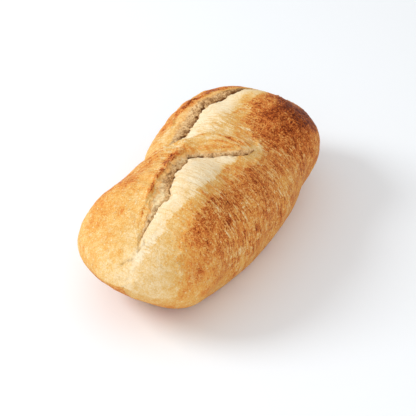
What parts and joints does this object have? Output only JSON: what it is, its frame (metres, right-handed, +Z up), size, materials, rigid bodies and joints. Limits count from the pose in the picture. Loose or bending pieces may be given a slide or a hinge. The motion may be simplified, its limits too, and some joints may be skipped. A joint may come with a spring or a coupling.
{
  "type": "sourdough loaf",
  "caption": "Long oval sourdough loaf with overlapping slashes that burst open along its crown, a bridge of crust between them, and a flat foot that it rests on.",
  "frame": {"origin": "under the middle of the loaf's box, on the surface that the loaf lies on", "axes": "+X along the loaf to its darker end, +Y to the side where the slashes lift their crust, +Z up"},
  "size_m": [0.2406, 0.1204, 0.0837],
  "materials": {
    "crust": "baked crust, golden to caramel brown, pale and floury beside the slashes, matt with a faint sheen on the brown side"
  },
  "bodies": {
    "root": {"loaf": "crust"}
  },
  "joints": []
}
